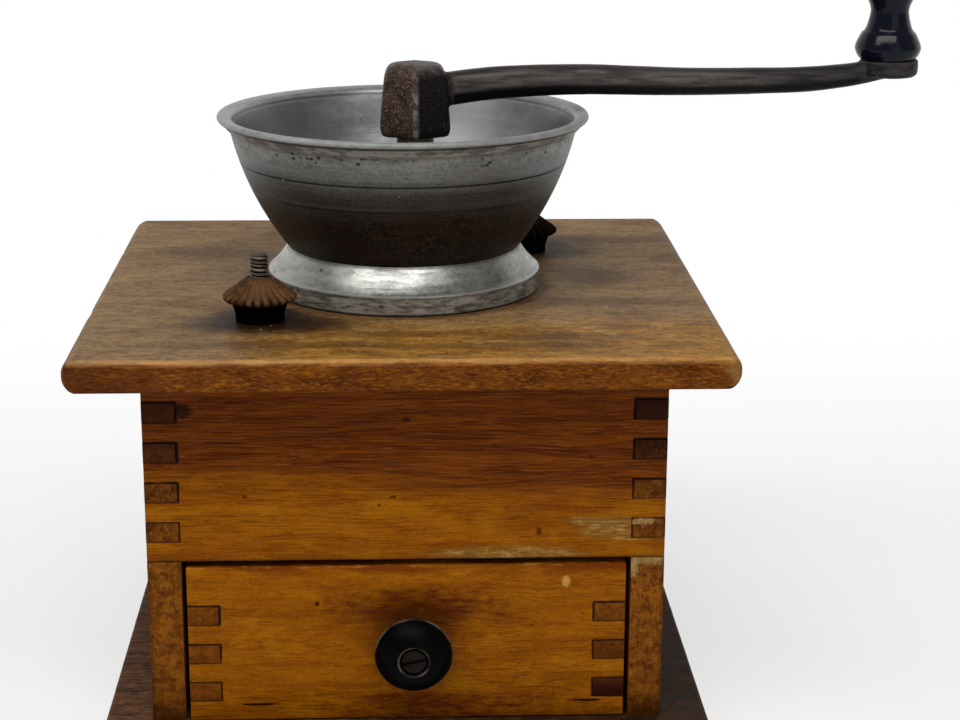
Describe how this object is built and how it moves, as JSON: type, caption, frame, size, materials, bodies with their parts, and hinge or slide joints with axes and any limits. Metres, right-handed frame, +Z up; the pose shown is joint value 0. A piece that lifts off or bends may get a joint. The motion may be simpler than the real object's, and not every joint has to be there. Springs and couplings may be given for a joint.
{
  "type": "manual coffee grinder",
  "caption": "Hand-cranked box coffee mill: finger-jointed wooden case with a drawer, footed metal hopper, curved iron crank and conical burrs.",
  "frame": {"origin": "centre of the base board's underside", "axes": "+Z up, -Y is the drawer's front, +X is where the crank arm points at rest"},
  "size_m": [0.2593, 0.1872, 0.2499],
  "materials": {
    "top_wood": "worn oil, dull",
    "base_wood": "dark stain, dull",
    "case_wood": "amber shellac, worn",
    "drawer_wood": "amber shellac, worn",
    "plain_wood": "bare",
    "black_wood": "gloss black paint",
    "pewter": "tarnished satin",
    "rusty_iron": "as cast, rusted",
    "burr_iron": "as cast",
    "screw_steel": "aged"
  },
  "bodies": {
    "case": {"base_board": "base_wood", "left_side": "case_wood", "right_side": "case_wood", "front_rail": "case_wood", "back_panel": "case_wood", "top_board": "top_wood", "glue_blocks": "plain_wood", "base_screws": "screw_steel", "hopper_foot": "pewter", "hopper_bowl": "pewter", "hopper_screws": "screw_steel", "burr_housing": "burr_iron", "ring_burr": "burr_iron", "top_bridge": "burr_iron", "clamp_bolt_front": "screw_steel", "clamp_bolt_rear": "screw_steel", "clamp_nut_front": "rusty_iron", "clamp_nut_rear": "rusty_iron", "step_bar": "burr_iron", "step_bar_screws": "screw_steel"},
    "drawer": {"drawer_front": "drawer_wood", "drawer_left": "drawer_wood", "drawer_right": "drawer_wood", "drawer_back": "drawer_wood", "drawer_floor": "plain_wood", "drawer_knob": "black_wood", "drawer_knob_screw": "screw_steel"},
    "thrust": {"thrust_pad": "screw_steel"},
    "regulator": {"regulating_screw": "screw_steel"},
    "crank": {"spindle": "screw_steel", "cone_burr": "burr_iron", "cone_pin": "screw_steel", "crank_arm": "rusty_iron", "knob_pin": "screw_steel", "knob_washer": "screw_steel"},
    "knob": {"crank_knob": "black_wood"}
  },
  "joints": [
    {"name": "drawer_slide", "type": "slide", "parent": "case", "child": "drawer", "axis": [0, -1, 0], "range_m": [0, 0.11]},
    {"name": "spindle_lift", "type": "slide", "parent": "case", "child": "thrust", "axis": [0, 0, 1], "range_m": [-0.0015, 0.0015]},
    {"name": "regulating_turn", "type": "hinge", "parent": "thrust", "child": "regulator", "pos_m": [0.0037, -0.0045, 0.0765], "axis": [0, 0, 1], "range_deg": [-433, 433]},
    {"name": "crank_spin", "type": "hinge", "parent": "thrust", "child": "crank", "pos_m": [0.0037, -0.0045, 0.1403], "axis": [0, 0, 1], "continuous": true},
    {"name": "knob_spin", "type": "hinge", "parent": "crank", "child": "knob", "pos_m": [0.1508, -0.0045, 0.198], "axis": [0, 0, 1], "continuous": true}
  ],
  "couplings": [
    {"joint": "regulating_turn", "follows": "spindle_lift", "rad_per_m": 5026.5}
  ]
}
